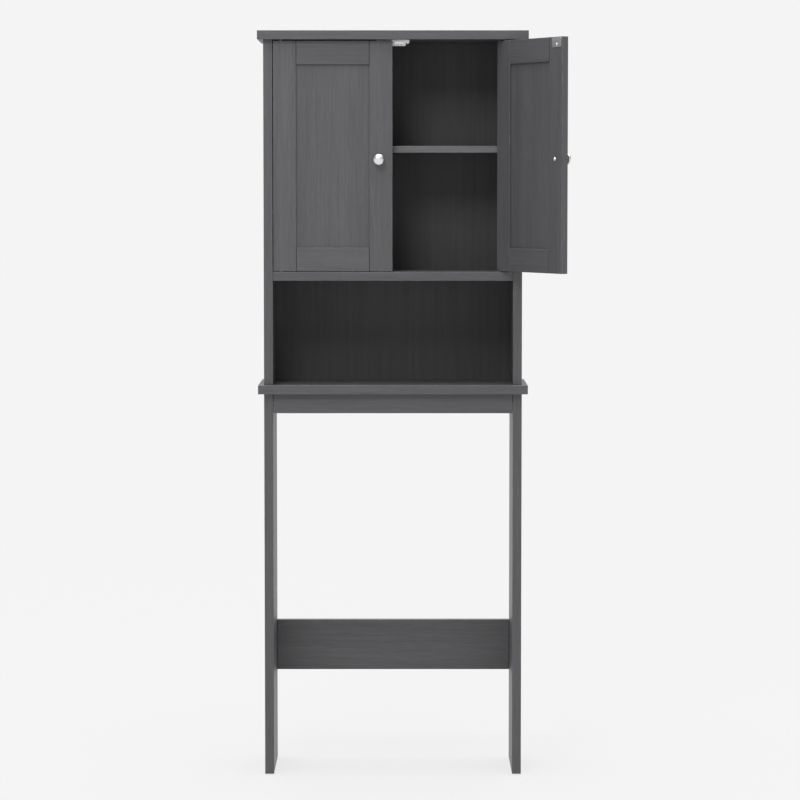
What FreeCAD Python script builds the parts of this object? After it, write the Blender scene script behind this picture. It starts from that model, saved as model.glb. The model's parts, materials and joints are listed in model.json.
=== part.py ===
import FreeCAD, Part
import os
import re
import Sketcher

# Over-the-toilet storage cabinet.
# X runs to the right, Y to the back and Z up. The origin is on the floor, midway between the
# four foot glides. Sizes are in millimetres.

doc = FreeCAD.newDocument("OverToiletCabinet")
sheet = doc.addObject("Spreadsheet::Sheet", "Dimensions")

DIMENSIONS = [
    ("top_width", 600, "top board and ledge, side to side"),
    ("side_overhang", 13, "top board and ledge past each side panel"),
    ("front_overhang", 13, "top board and ledge past the front of the sides"),
    ("leg_depth", 217, "side and leg panels, front to back"),
    ("board", 20, "thickness of the main boards"),
    ("glide_height", 2, "foot glide below the leg panel"),
    ("leg_height", 855, "leg panel"),
    ("open_height", 232, "open compartment, clear height"),
    ("door_opening", 513, "closed compartment, clear height"),
    ("rail_thick", 18, "apron, wall rail and stretcher"),
    ("apron_height", 43, "apron and wall rail"),
    ("stretcher_height", 115, "rear stretcher board"),
    ("stretcher_rise", 206, "underside of the stretcher above the leg's lower end"),
    ("back_thick", 3, "hardboard back"),
    ("back_inset", 8, "back groove to the rear edge"),
    ("groove_width", 3.2, "groove for the back"),
    ("groove_depth", 6, "groove for the back"),
    ("shelf_thick", 15, "adjustable shelf"),
    ("shelf_rise", 264, "underside of the shelf above the cabinet floor"),
    ("shelf_setback", 30, "front of the shelf behind the front of the sides"),
    ("shelf_gap", 1, "shelf end to side panel"),
    ("pin_hole_radius", 2.5, "shelf pin hole"),
    ("pin_hole_depth", 9, "shelf pin hole"),
    ("pin_pitch", 32, "height step of the shelf pin holes"),
    ("pin_column_inset", 55, "shelf pin column to the front or the back of the side"),
    ("door_thick", 15, "door frame"),
    ("door_side_gap", 1.5, "door to side panel"),
    ("door_centre_gap", 2, "between the closed doors"),
    ("door_top_gap", 2.3, "door to top board"),
    ("door_bottom_gap", 1.5, "door to cabinet floor"),
    ("stile_width", 52, "door stiles and rails"),
    ("panel_thick", 5, "door panel"),
    ("panel_recess", 5, "door panel behind the front of the frame"),
    ("panel_groove", 8, "groove in the frame for the panel"),
    ("panel_play", 0.5, "free space at the bottom of the panel groove"),
    ("pivot_inset", 18.5, "pivot axis to the inner face of the side panel"),
    ("pivot_setback", 5, "pivot axis behind the front of the closed door"),
    ("pivot_radius", 2, "steel pivot pin"),
    ("pivot_play", 0.05, "running clearance of the pin in its bush"),
    ("pivot_reach", 7, "pin beyond the end of the door"),
    ("pivot_hold", 22, "pin inside the door"),
    ("bush_radius", 3, "nylon bush"),
    ("bush_depth", 9, "nylon bush in its board"),
    ("bush_lip", 0.8, "thickness of the bush's lip"),
    ("bush_lip_radius", 4.5, "lip of the bush"),
    ("left_door_angle", 0, "left door, degrees open"),
    ("right_door_angle", 120, "right door, degrees open"),
    ("knob_radius", 12.5, "door knob"),
    ("knob_reach", 24, "knob beyond the front of the door"),
    ("knob_edge", 30, "knob to the free edge of the door"),
    ("knob_rise", 247, "knob above the lower edge of the door"),
    ("knob_screw_radius", 2, "M4 screw of the knob"),
    ("strike_width", 36, "steel strike plate"),
    ("strike_height", 21, "steel strike plate"),
    ("strike_thick", 1.2, "steel strike plate"),
    ("strike_edge", 3.5, "strike plate to the free edge of the door"),
    ("strike_drop", 1.5, "strike plate to the top of the door"),
    ("strike_screw_rise", 6, "strike plate's screw above its lower edge"),
    ("catch_width", 57, "magnetic catch without its ears"),
    ("catch_height", 13, "magnetic catch"),
    ("catch_depth", 22, "magnetic catch"),
    ("catch_ear", 8, "ear at each end of the catch"),
    ("catch_ear_height", 7, "ear at each end of the catch"),
    ("catch_air", 0.5, "pole plates to strike plate"),
    ("magnet_width", 20, "magnet's window in the catch"),
    ("magnet_window", 9, "height of the magnet's window"),
    ("magnet_depth", 16, "depth of the magnet's window"),
    ("pole_thick", 1.2, "steel pole plates over and under a magnet"),
    ("glide_radius", 9, "foot glide"),
    ("glide_inset", 20, "foot glide to the front or the back of the leg"),
    ("nail_radius", 1.25, "nail of the foot glide"),
    ("nail_length", 14, "nail of the foot glide"),
    ("anchor_radius", 2.5, "hole for a wall screw"),
    ("anchor_spacing", 300, "between the two wall screws"),
    ("cam_radius", 7.5, "pocket of a cam lock"),
    ("cam_reach", 34, "cam lock to the joint"),
    ("cam_overcut", 3, "cam pocket past the middle of its board"),
    ("bolt_bore", 3.8, "radius of the bore for a cam bolt"),
    ("bolt_pilot", 2.5, "radius of the hole that the cam bolt is screwed into"),
    ("bolt_pilot_depth", 11, "depth of that hole"),
    ("bolt_inset", 45, "cam bolts of the sides and floor, to the front or the back"),
    ("leg_bolt_inset", 65, "cam bolts of the legs, to the front or the back"),
    ("dowel_radius", 4, "bore of a wood dowel"),
    ("dowel_end_depth", 19, "dowel bore in a board's end"),
    ("dowel_face_depth", 12, "dowel bore in a board's face"),
    ("dowel_inset", 26, "dowels of the sides and floor, to the front or the back"),
    ("leg_dowel_inset", 85, "dowels of the legs, to the front or the back"),
    ("stretcher_dowel", 38, "stretcher's dowels above and below its middle"),
]
for row, (alias, value, note) in enumerate(DIMENSIONS, start=1):
    sheet.set(f"A{row}", note)
    sheet.set(f"B{row}", str(value))
    sheet.setAlias(f"B{row}", alias)
doc.recompute()

ALIASES = {alias for alias, value, note in DIMENSIONS}

# Levels and planes that many parts share, as formulas of the sheet.
FRONT = "(-leg_depth / 2)"
REAR = "(leg_depth / 2)"
OUTER = "(top_width / 2 - side_overhang)"
INNER = f"({OUTER} - board)"
LEDGE_UNDER = "(glide_height + leg_height)"
LEDGE_TOP = f"({LEDGE_UNDER} + board)"
FLOOR_UNDER = f"({LEDGE_TOP} + open_height)"
FLOOR_TOP = f"({FLOOR_UNDER} + board)"
TOP_UNDER = f"({FLOOR_TOP} + door_opening)"
TOP_FACE = f"({TOP_UNDER} + board)"
BACK_FRONT = f"({REAR} - back_inset - groove_width)"
DOOR_BOTTOM = f"({FLOOR_TOP} + door_bottom_gap)"
DOOR_HEIGHT = "(door_opening - door_bottom_gap - door_top_gap)"
DOOR_WIDTH = f"({INNER} - door_side_gap - door_centre_gap / 2)"

DIRECTIONS = {
    "+x": FreeCAD.Vector(1, 0, 0),
    "-x": FreeCAD.Vector(-1, 0, 0),
    "+y": FreeCAD.Vector(0, 1, 0),
    "-y": FreeCAD.Vector(0, -1, 0),
    "+z": FreeCAD.Vector(0, 0, 1),
    "-z": FreeCAD.Vector(0, 0, -1),
}
SIDES = (("left", -1, "+x", "-x"), ("right", 1, "-x", "+x"))

nodes = []


def in_sheet(formula):
    """The formula with every alias written as a reference to the sheet."""
    return re.sub(
        r"[A-Za-z_]\w*",
        lambda word: "Dimensions." + word.group() if word.group() in ALIASES else word.group(),
        str(formula),
    )


def number(formula):
    """The formula's value now, for the first position of a sketch's points."""
    return float(sheet.evalExpression(in_sheet(formula)))


def bind(thing, **formulas):
    for prop, formula in formulas.items():
        thing.setExpression(prop, in_sheet(formula))


def place(thing, point, direction="+z"):
    """Put the thing's own +Z along the direction, with its origin at the point."""
    turn = FreeCAD.Rotation(DIRECTIONS["+z"], DIRECTIONS[direction])
    thing.Placement = FreeCAD.Placement(FreeCAD.Vector(), turn)
    for axis, formula in zip("xyz", point):
        thing.setExpression(f"Placement.Base.{axis}", in_sheet(formula))


def along(point, direction, distance):
    """The point moved by the distance in the direction."""
    moved = list(point)
    index = "xyz".index(direction[1])
    moved[index] = f"({moved[index]} {direction[0]} ({distance}))"
    return tuple(moved)


def opposite(direction):
    return ("-" if direction[0] == "+" else "+") + direction[1]


def as_node(thing, name):
    thing.Label = name
    nodes.append(thing)
    return thing


# ---- Plain boards and their bores ----


def box(name, corner, size):
    thing = doc.addObject("Part::Box", name)
    bind(thing, Length=size[0], Width=size[1], Height=size[2])
    place(thing, corner)
    return thing


def bore(name, mouth, inward, radius, depth):
    """A drill's path: from 1 mm outside the mouth to the depth."""
    thing = doc.addObject("Part::Cylinder", name)
    bind(thing, Radius=radius, Height=f"{depth} + 1")
    place(thing, along(mouth, opposite(inward), 1), inward)
    return thing


def machined(name, blank, cutters):
    """The node made of a blank less its cutters."""
    tool = doc.addObject("Part::MultiFuse", name + "_cutters")
    tool.Shapes = cutters
    part = doc.addObject("Part::Cut", name + "_cut")
    part.Base = blank
    part.Tool = tool
    return as_node(part, name)


# ---- Sketched bodies ----


def sketch_on(body, plane, offset=("0", "0", "0")):
    sketch = body.newObject("Sketcher::SketchObject", body.Name + "_sketch")
    origin_plane = [item for item in body.Origin.OriginFeatures if item.Role == plane][0]
    sketch.AttachmentSupport = (origin_plane, [""])
    sketch.MapMode = "FlatFace"
    for axis, formula in zip("xyz", offset):
        sketch.setExpression(f"AttachmentOffset.Base.{axis}", in_sheet(formula))
    return sketch


def hold(sketch, kind, geometry, vertex, formula):
    """Hold a point's distance from the sketch's origin, or put it on the axis when it is zero."""
    if formula == "0":
        axis = -2 if kind == "DistanceX" else -1
        sketch.addConstraint(Sketcher.Constraint("PointOnObject", geometry, vertex, axis))
        return
    rule = Sketcher.Constraint(kind, geometry, vertex, number(formula))
    index = sketch.addConstraint(rule)
    sketch.setExpression(f"Constraints[{index}]", in_sheet(formula))


def outline(body, plane, points, offset=("0", "0", "0")):
    """A closed outline through the points."""
    sketch = sketch_on(body, plane, offset)
    corners = [FreeCAD.Vector(number(u), number(w), 0) for u, w in points]
    count = len(corners)
    for i in range(count):
        sketch.addGeometry(Part.LineSegment(corners[i], corners[(i + 1) % count]), False)
    for i in range(count):
        sketch.addConstraint(Sketcher.Constraint("Coincident", i, 2, (i + 1) % count, 1))
    for i, (u, w) in enumerate(points):
        hold(sketch, "DistanceX", i, 1, u)
        hold(sketch, "DistanceY", i, 1, w)
    return sketch


def ring(body, plane, centre, radius, offset=("0", "0", "0")):
    """A circle."""
    sketch = sketch_on(body, plane, offset)
    middle = FreeCAD.Vector(number(centre[0]), number(centre[1]), 0)
    circle = Part.Circle(middle, DIRECTIONS["+z"], number(radius))
    sketch.addGeometry(circle, False)
    index = sketch.addConstraint(Sketcher.Constraint("Radius", 0, number(radius)))
    sketch.setExpression(f"Constraints[{index}]", in_sheet(radius))
    hold(sketch, "DistanceX", 0, 3, centre[0])
    hold(sketch, "DistanceY", 0, 3, centre[1])
    return sketch


def pad(body, sketch, length):
    feature = body.newObject("PartDesign::Pad", body.Name + "_pad")
    feature.Profile = sketch
    bind(feature, Length=length)
    return feature


def pocket(body, sketch, depth, with_normal=False):
    """Cut against the sketch's normal, or with it."""
    feature = body.newObject("PartDesign::Pocket", body.Name + "_pocket")
    feature.Profile = sketch
    feature.Reversed = with_normal
    bind(feature, Length=depth)
    return feature


def turned(body, plane, points, offset=("0", "0", "0")):
    """A turned body: the outline's u is the radius and its w runs along the sketch's vertical axis."""
    sketch = outline(body, plane, points, offset)
    feature = body.newObject("PartDesign::Revolution", body.Name + "_turned")
    feature.Profile = sketch
    feature.ReferenceAxis = (sketch, ["V_Axis"])
    feature.Angle = 360
    return feature


def new_body(name):
    return doc.addObject("PartDesign::Body", name)


def cross(centre, half_width, half_length):
    """The outline of a cross recess."""
    a, b = half_width, half_length
    corners = [
        (a, a), (a, b), (-a, b), (-a, a), (-b, a), (-b, -a),
        (-a, -a), (-a, -b), (a, -b), (a, -a), (b, -a), (b, a),
    ]
    return [(f"({centre[0]}) + ({u})", f"({centre[1]}) + ({w})") for u, w in corners]


# ---- Joinery: cam locks with their bolts, and wood dowels ----
# A joint is a point on the face where two boards meet. "inward" goes from the joint into the
# board whose end meets the other board's face, and "mouth" is the side of that board where the
# cam lock is reached with a screwdriver.

cam_master = new_body("cam_master")
cam_disc = ring(cam_master, "XY_Plane", ("0", "0"), "cam_radius - 0.1")
pad(cam_master, cam_disc, "board / 2 + cam_overcut - 0.4")
head_bore = ring(cam_master, "YZ_Plane", ("0", "board / 2"), "bolt_bore - 0.1", ("0", "0", "-3"))
pocket(cam_master, head_bore, "cam_radius + 5", with_normal=True)
driver_recess = outline(cam_master, "XY_Plane", cross(("0", "0"), 0.6, 3))
pocket(cam_master, driver_recess, "2", with_normal=True)

bolt_master = new_body("bolt_master")
turned(bolt_master, "XZ_Plane", [
    ("0", "0.5 - bolt_pilot_depth"), ("bolt_pilot - 1", "0.5 - bolt_pilot_depth"),
    ("bolt_pilot - 0.1", "1.5 - bolt_pilot_depth"), ("bolt_pilot - 0.1", "0"),
    ("bolt_bore - 0.4", "0"), ("bolt_bore - 0.4", "2"), ("2.4", "3"),
    ("2.4", "cam_reach - 6"), ("1.7", "cam_reach - 5"),
    ("1.7", "cam_reach - 2"), ("3", "cam_reach - 1"), ("3", "cam_reach + 1"),
    ("2", "cam_reach + 2"), ("0", "cam_reach + 2"),
])

dowel_master = new_body("dowel_master")
turned(dowel_master, "XZ_Plane", [
    ("0", "0.5 - dowel_face_depth"), ("dowel_radius - 1", "0.5 - dowel_face_depth"),
    ("dowel_radius - 0.05", "1.5 - dowel_face_depth"),
    ("dowel_radius - 0.05", "dowel_end_depth - 1.5"),
    ("dowel_radius - 1", "dowel_end_depth - 0.5"), ("0", "dowel_end_depth - 0.5"),
])

cams = []
bolts = []
dowels = []


def copy_of(master, name, point, direction):
    link = doc.addObject("App::Link", name)
    link.LinkedObject = master
    place(link, point, direction)
    return link


def cam_joint(point, inward, mouth, end_cutters, face_cutters):
    """Bore both boards for a cam lock and its bolt, and add the pair."""
    tag = f"joint{len(cams)}"
    centre = along(point, inward, "cam_reach")
    opening = along(centre, mouth, "board / 2")
    end_cutters.append(bore(tag + "_end", point, inward, "bolt_bore", "cam_reach"))
    seat = bore(tag + "_seat", opening, opposite(mouth), "cam_radius", "board / 2 + cam_overcut")
    end_cutters.append(seat)
    pilot = bore(tag + "_pilot", point, opposite(inward), "bolt_pilot", "bolt_pilot_depth")
    face_cutters.append(pilot)
    cam = copy_of(cam_master, tag + "_cam", opening, opposite(mouth))
    # The cam's own +X, where its bolt comes in, is turned towards the joint.
    z_axis = DIRECTIONS[opposite(mouth)]
    x_axis = DIRECTIONS[opposite(inward)]
    turn = FreeCAD.Rotation(x_axis, z_axis.cross(x_axis), z_axis, "ZXY")
    cam.Placement = FreeCAD.Placement(cam.Placement.Base, turn)
    cams.append(cam)
    bolts.append(copy_of(bolt_master, tag + "_bolt", point, inward))


def dowel_joint(point, inward, end_cutters, face_cutters):
    """Bore both boards for a wood dowel, and add it."""
    tag = f"dowel{len(dowels)}"
    end_cutters.append(bore(tag + "_end", point, inward, "dowel_radius", "dowel_end_depth"))
    face = bore(tag + "_face", point, opposite(inward), "dowel_radius", "dowel_face_depth")
    face_cutters.append(face)
    dowels.append(copy_of(dowel_master, tag, point, inward))


cutters = {
    name: []
    for name in (
        "top_board", "left_side_panel", "right_side_panel", "cabinet_floor", "ledge_board",
        "left_leg_panel", "right_leg_panel", "front_apron", "wall_rail", "rear_stretcher",
    )
}

for side, sign, to_middle, to_outside in SIDES:
    panel = cutters[f"{side}_side_panel"]
    leg = cutters[f"{side}_leg_panel"]
    mid_x = f"({sign} * ({OUTER} - board / 2))"
    face_x = f"({sign} * {INNER})"
    # Side panel to top board and to ledge, leg panel to ledge.
    for y in (f"({FRONT} + bolt_inset)", f"({REAR} - bolt_inset)"):
        cam_joint((mid_x, y, TOP_UNDER), "-z", to_middle, panel, cutters["top_board"])
        cam_joint((mid_x, y, LEDGE_TOP), "+z", to_middle, panel, cutters["ledge_board"])
    for y in (f"({FRONT} + dowel_inset)", f"({REAR} - dowel_inset)"):
        dowel_joint((mid_x, y, TOP_UNDER), "-z", panel, cutters["top_board"])
        dowel_joint((mid_x, y, LEDGE_TOP), "+z", panel, cutters["ledge_board"])
    for y in (f"({FRONT} + leg_bolt_inset)", f"({REAR} - leg_bolt_inset)"):
        cam_joint((mid_x, y, LEDGE_UNDER), "-z", to_middle, leg, cutters["ledge_board"])
    for y in (f"({FRONT} + leg_dowel_inset)", f"({REAR} - leg_dowel_inset)"):
        dowel_joint((mid_x, y, LEDGE_UNDER), "-z", leg, cutters["ledge_board"])
    # Cabinet floor to side panels, its cam locks reached from below.
    floor_z = f"({FLOOR_UNDER} + board / 2)"
    for y in (f"({FRONT} + bolt_inset)", f"({REAR} - bolt_inset)"):
        cam_joint((face_x, y, floor_z), to_middle, "-z", cutters["cabinet_floor"], panel)
    for y in (f"({FRONT} + dowel_inset)", f"({REAR} - dowel_inset)"):
        dowel_joint((face_x, y, floor_z), to_middle, cutters["cabinet_floor"], panel)
    # Apron, wall rail and stretcher to leg panels.
    apron_z = f"({LEDGE_UNDER} - apron_height / 2)"
    stretcher_z = "(glide_height + stretcher_rise + stretcher_height / 2)"
    apron_y = f"({FRONT} + rail_thick - board / 2)"
    rear_y = f"({REAR} - board / 2)"
    cam_joint((face_x, apron_y, apron_z), to_middle, "+y", cutters["front_apron"], leg)
    cam_joint((face_x, rear_y, stretcher_z), to_middle, "+y", cutters["rear_stretcher"], leg)
    cam_joint((face_x, rear_y, apron_z), to_middle, "+y", cutters["wall_rail"], leg)
    for rise in ("-stretcher_dowel", "stretcher_dowel"):
        dowel_joint((face_x, rear_y, f"({stretcher_z} + ({rise}))"), to_middle,
                    cutters["rear_stretcher"], leg)


# ---- Top board and ledge ----
# Both overhang the sides and the front, and both hold the back in a groove.


def plan_groove(name, z):
    """The groove for the back in a horizontal board."""
    return box(
        name,
        (f"-{INNER} - groove_depth", BACK_FRONT, z),
        (f"2 * ({INNER} + groove_depth)", "groove_width", "groove_depth + 1"),
    )


plan = ("top_width", "leg_depth + front_overhang")
plan_corner = ("-top_width / 2", f"{FRONT} - front_overhang")

pivot_x = f"({INNER} - pivot_inset)"
pivot_y = f"({FRONT} + pivot_setback)"
catch_front = f"({FRONT} + door_thick + strike_thick + catch_air)"
catch_screw_x = "(catch_width / 2 + catch_ear / 2)"
catch_screw_y = f"({catch_front} + 0.5 + catch_depth / 2)"

top_blank = box("top_blank", (*plan_corner, TOP_UNDER), (*plan, "board"))
top_cutters = cutters["top_board"]
top_cutters.append(plan_groove("top_groove", f"{TOP_UNDER} - 1"))
for sign in (-1, 1):
    seat = (f"{sign} * {pivot_x}", pivot_y, TOP_UNDER)
    top_cutters.append(bore(f"top_bush_bore{sign}", seat, "+z", "bush_radius", "bush_depth"))
    hole = (f"{sign} * {catch_screw_x}", catch_screw_y, TOP_UNDER)
    top_cutters.append(bore(f"catch_pilot{sign}", hole, "+z", "1.6", "11"))
machined("top_board", top_blank, top_cutters)

ledge_blank = box("ledge_blank", (*plan_corner, LEDGE_UNDER), (*plan, "board"))
cutters["ledge_board"].append(plan_groove("ledge_groove", f"{LEDGE_TOP} - groove_depth"))
machined("ledge_board", ledge_blank, cutters["ledge_board"])


# ---- Side panels ----
# Each has the back's groove down its inner face and two columns of shelf pin holes.

pin_z = f"({FLOOR_TOP} + shelf_rise - pin_hole_radius)"
pin_columns = (f"({FRONT} + pin_column_inset)", f"({REAR} - pin_column_inset)")

for side, sign, to_middle, to_outside in SIDES:
    low_x = f"-{OUTER}" if sign < 0 else INNER
    blank = box(
        f"{side}_side_blank",
        (low_x, FRONT, LEDGE_TOP),
        ("board", "leg_depth", "open_height + board + door_opening"),
    )
    groove_x = f"-{INNER} - groove_depth" if sign < 0 else f"{INNER} - 1"
    side_cutters = cutters[f"{side}_side_panel"]
    side_cutters.append(
        box(
            f"{side}_side_groove",
            (groove_x, BACK_FRONT, f"{LEDGE_TOP} - 1"),
            ("groove_depth + 1", "groove_width", "open_height + board + door_opening + 2"),
        )
    )
    for step in range(-2, 3):
        for column, y in enumerate(pin_columns):
            mouth = (f"{sign} * {INNER}", y, f"{pin_z} + {step} * pin_pitch")
            tag = f"{side}_pin_hole{step}_{column}"
            hole = bore(tag, mouth, to_outside, "pin_hole_radius", "pin_hole_depth")
            side_cutters.append(hole)
    machined(f"{side}_side_panel", blank, side_cutters)


# ---- Cabinet floor, adjustable shelf and back ----

floor_blank = box(
    "floor_blank",
    (f"-{INNER}", FRONT, FLOOR_UNDER),
    (f"2 * {INNER}", "leg_depth - back_inset - groove_width", "board"),
)
for sign in (-1, 1):
    seat = (f"{sign} * {pivot_x}", pivot_y, FLOOR_TOP)
    floor_bore = bore(f"floor_bush_bore{sign}", seat, "-z", "bush_radius", "bush_depth")
    cutters["cabinet_floor"].append(floor_bore)
machined("cabinet_floor", floor_blank, cutters["cabinet_floor"])

shelf = box(
    "shelf",
    (f"-{INNER} + shelf_gap", f"{FRONT} + shelf_setback", f"{FLOOR_TOP} + shelf_rise"),
    (
        f"2 * ({INNER} - shelf_gap)",
        "leg_depth - shelf_setback - back_inset - groove_width - 2",
        "shelf_thick",
    ),
)
as_node(shelf, "adjustable_shelf")

back = box(
    "back",
    (
        f"-{INNER} - groove_depth + 0.5",
        f"{BACK_FRONT} + (groove_width - back_thick) / 2",
        f"{LEDGE_TOP} - groove_depth + 0.5",
    ),
    (
        f"2 * ({INNER} + groove_depth - 0.5)",
        "back_thick",
        "open_height + board + door_opening + 2 * groove_depth - 1",
    ),
)
as_node(back, "back_panel")

# Four steel shelf pins, each with a thin collar against the side panel.
pin_master = new_body("pin_master")
turned(pin_master, "XZ_Plane", [
    ("0", "0.5 - pin_hole_depth"), ("pin_hole_radius - 0.9", "0.5 - pin_hole_depth"),
    ("pin_hole_radius - 0.1", "1.3 - pin_hole_depth"), ("pin_hole_radius - 0.1", "0"),
    ("pin_hole_radius + 1.1", "0"), ("pin_hole_radius + 1.1", "shelf_gap - 0.2"),
    ("pin_hole_radius", "shelf_gap - 0.2"), ("pin_hole_radius", "8.5"),
    ("pin_hole_radius - 0.5", "9"), ("0", "9"),
])
pins = []
for side, sign, to_middle, to_outside in SIDES:
    for column, y in enumerate(pin_columns):
        spot = (f"{sign} * {INNER}", y, pin_z)
        pins.append(copy_of(pin_master, f"{side}_pin{column}", spot, to_middle))
shelf_pins = doc.addObject("Part::Compound", "shelf_pins_group")
shelf_pins.Links = pins
as_node(shelf_pins, "shelf_pins")


# ---- Leg panels and the boards between them ----

for side, sign, to_middle, to_outside in SIDES:
    low_x = f"-{OUTER}" if sign < 0 else INNER
    blank = box(
        f"{side}_leg_blank",
        (low_x, FRONT, "glide_height"),
        ("board", "leg_depth", "leg_height"),
    )
    leg_cutters = cutters[f"{side}_leg_panel"]
    for end, y in (("front", f"{FRONT} + glide_inset"), ("rear", f"{REAR} - glide_inset")):
        mouth = (f"{sign} * ({OUTER} - board / 2)", y, "glide_height")
        nail_hole = bore(f"{side}_{end}_nail_hole", mouth, "+z", "nail_radius + 0.05", "nail_length + 1")
        leg_cutters.append(nail_hole)
    machined(f"{side}_leg_panel", blank, leg_cutters)

apron_blank = box(
    "apron_blank",
    (f"-{INNER}", FRONT, f"{LEDGE_UNDER} - apron_height"),
    (f"2 * {INNER}", "rail_thick", "apron_height"),
)
machined("front_apron", apron_blank, cutters["front_apron"])

# The wall rail repeats the apron at the back, and has the two holes for the wall screws.
rail_blank = box(
    "wall_rail_blank",
    (f"-{INNER}", f"{REAR} - rail_thick", f"{LEDGE_UNDER} - apron_height"),
    (f"2 * {INNER}", "rail_thick", "apron_height"),
)
for sign in (-1, 1):
    mouth = (f"{sign} * anchor_spacing / 2", f"{REAR} - rail_thick",
             f"{LEDGE_UNDER} - apron_height / 2")
    anchor = bore(f"anchor_hole{sign}", mouth, "+y", "anchor_radius", "rail_thick + 1")
    cutters["wall_rail"].append(anchor)
machined("wall_rail", rail_blank, cutters["wall_rail"])

stretcher_blank = box(
    "stretcher_blank",
    (f"-{INNER}", f"{REAR} - rail_thick", "glide_height + stretcher_rise"),
    (f"2 * {INNER}", "rail_thick", "stretcher_height"),
)
machined("rear_stretcher", stretcher_blank, cutters["rear_stretcher"])

for name, links in (("cam_locks", cams), ("cam_bolts", bolts), ("wood_dowels", dowels)):
    group = doc.addObject("Part::Compound", name + "_group")
    group.Links = links
    as_node(group, name)

# Four nail-on foot glides: a disc under the leg, with its nail.
glide_master = new_body("glide_master")
turned(glide_master, "XZ_Plane", [
    ("0", "0"), ("glide_radius", "0"), ("glide_radius", "glide_height"),
    ("nail_radius", "glide_height"), ("nail_radius", "glide_height + nail_length - 2"),
    ("0", "glide_height + nail_length"),
])
glides = []
for side, sign, to_middle, to_outside in SIDES:
    for end, y in (("front", f"{FRONT} + glide_inset"), ("rear", f"{REAR} - glide_inset")):
        spot = (f"{sign} * ({OUTER} - board / 2)", y, "0")
        glides.append(copy_of(glide_master, f"{side}_{end}_glide", spot, "+z"))
foot_glides = doc.addObject("Part::Compound", "foot_glides_group")
foot_glides.Links = glides
as_node(foot_glides, "foot_glides")


# ---- Pivot bushes ----
# A nylon bush with a thin lip sits over and under the hinge side of each door.

bush_master = new_body("bush_master")
turned(bush_master, "XZ_Plane", [
    ("pivot_radius + pivot_play", "-bush_lip"), ("bush_lip_radius", "-bush_lip"),
    ("bush_lip_radius", "0"), ("bush_radius", "0"), ("bush_radius", "bush_depth"),
    ("0", "bush_depth"), ("0", "bush_depth - 1"), ("pivot_radius + pivot_play", "bush_depth - 1"),
])
bushes = []
for side, sign, to_middle, to_outside in SIDES:
    for end, z, direction in (("top", TOP_UNDER, "+z"), ("bottom", FLOOR_TOP, "-z")):
        spot = (f"{sign} * {pivot_x}", pivot_y, z)
        bushes.append(copy_of(bush_master, f"{side}_{end}_bush", spot, direction))
pivot_bushes = doc.addObject("Part::Compound", "pivot_bushes_group")
pivot_bushes.Links = bushes
as_node(pivot_bushes, "pivot_bushes")


# ---- Magnetic catch ----
# A double catch under the top board, in the middle, with a magnet for each door.

housing = new_body("catch_housing_body")
half = "(catch_width / 2)"
ear = f"({half} + catch_ear)"
T_SHAPE = [
    (f"-{ear}", "0"), (f"-{ear}", "-catch_ear_height"), (f"-{half}", "-catch_ear_height"),
    (f"-{half}", "-catch_height"), (half, "-catch_height"), (half, "-catch_ear_height"),
    (ear, "-catch_ear_height"), (ear, "0"),
]
housing_pad = pad(housing, outline(housing, "XZ_Plane", T_SHAPE), "catch_depth")
housing_pad.Reversed = True
for sign in (-1, 1):
    middle = f"{sign} * catch_width / 4"
    low = "-(catch_height + magnet_window) / 2"
    high = "-(catch_height - magnet_window) / 2"
    window = [
        (f"{middle} - magnet_width / 2", low), (f"{middle} + magnet_width / 2", low),
        (f"{middle} + magnet_width / 2", high), (f"{middle} - magnet_width / 2", high),
    ]
    pocket(housing, outline(housing, "XZ_Plane", window), "magnet_depth")
    screw_hole = ring(housing, "XY_Plane", (f"{sign} * {catch_screw_x}", "catch_depth / 2"), "2")
    pocket(housing, screw_hole, "catch_height")
doc.recompute()
# The lower corners of the ears and of the body are rounded; the inner corners stay sharp.
plain_housing = housing.Tip
rounded = []
for index, edge in enumerate(plain_housing.Shape.Edges, start=1):
    reach = edge.BoundBox
    runs_back = abs(reach.YLength - number("catch_depth")) < 0.01 and reach.DiagonalLength < (
        number("catch_depth") + 0.01
    )
    at_ear = abs(abs(reach.XMin) - number(ear)) < 0.01 and reach.ZMax < -1
    at_bottom = abs(reach.ZMin + number("catch_height")) < 0.01
    if runs_back and (at_ear or at_bottom):
        rounded.append(f"Edge{index}")
rounding = housing.newObject("PartDesign::Fillet", "catch_rounding")
rounding.Base = (plain_housing, rounded)
rounding.Radius = 2.5
place(housing, ("0", f"{catch_front} + 0.5", TOP_UNDER))
as_node(housing, "catch_housing")

magnets = []
plates = []
for sign in (-1, 1):
    middle = f"{sign} * catch_width / 4"
    tag = "left" if sign < 0 else "right"
    near_x = f"{middle} - magnet_width / 2 + 0.2"
    width = "magnet_width - 0.4"
    mid_z = f"{TOP_UNDER} - catch_height / 2"
    block = "(magnet_window - 0.2 - 2 * pole_thick)"
    magnet = box(f"{tag}_magnet", (near_x, f"{catch_front} + 1", f"{mid_z} - {block} / 2"),
                 (width, "magnet_depth - 1", block))
    magnets.append(magnet)
    for level in (f"- {block} / 2 - pole_thick", f"+ {block} / 2"):
        plate = box(f"{tag}_plate{len(plates)}", (near_x, catch_front, f"{mid_z} {level}"),
                    (width, "magnet_depth", "pole_thick"))
        plates.append(plate)
for name, links in (("catch_magnets", magnets), ("catch_pole_plates", plates)):
    group = doc.addObject("Part::Compound", name + "_group")
    group.Links = links
    as_node(group, name)

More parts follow.
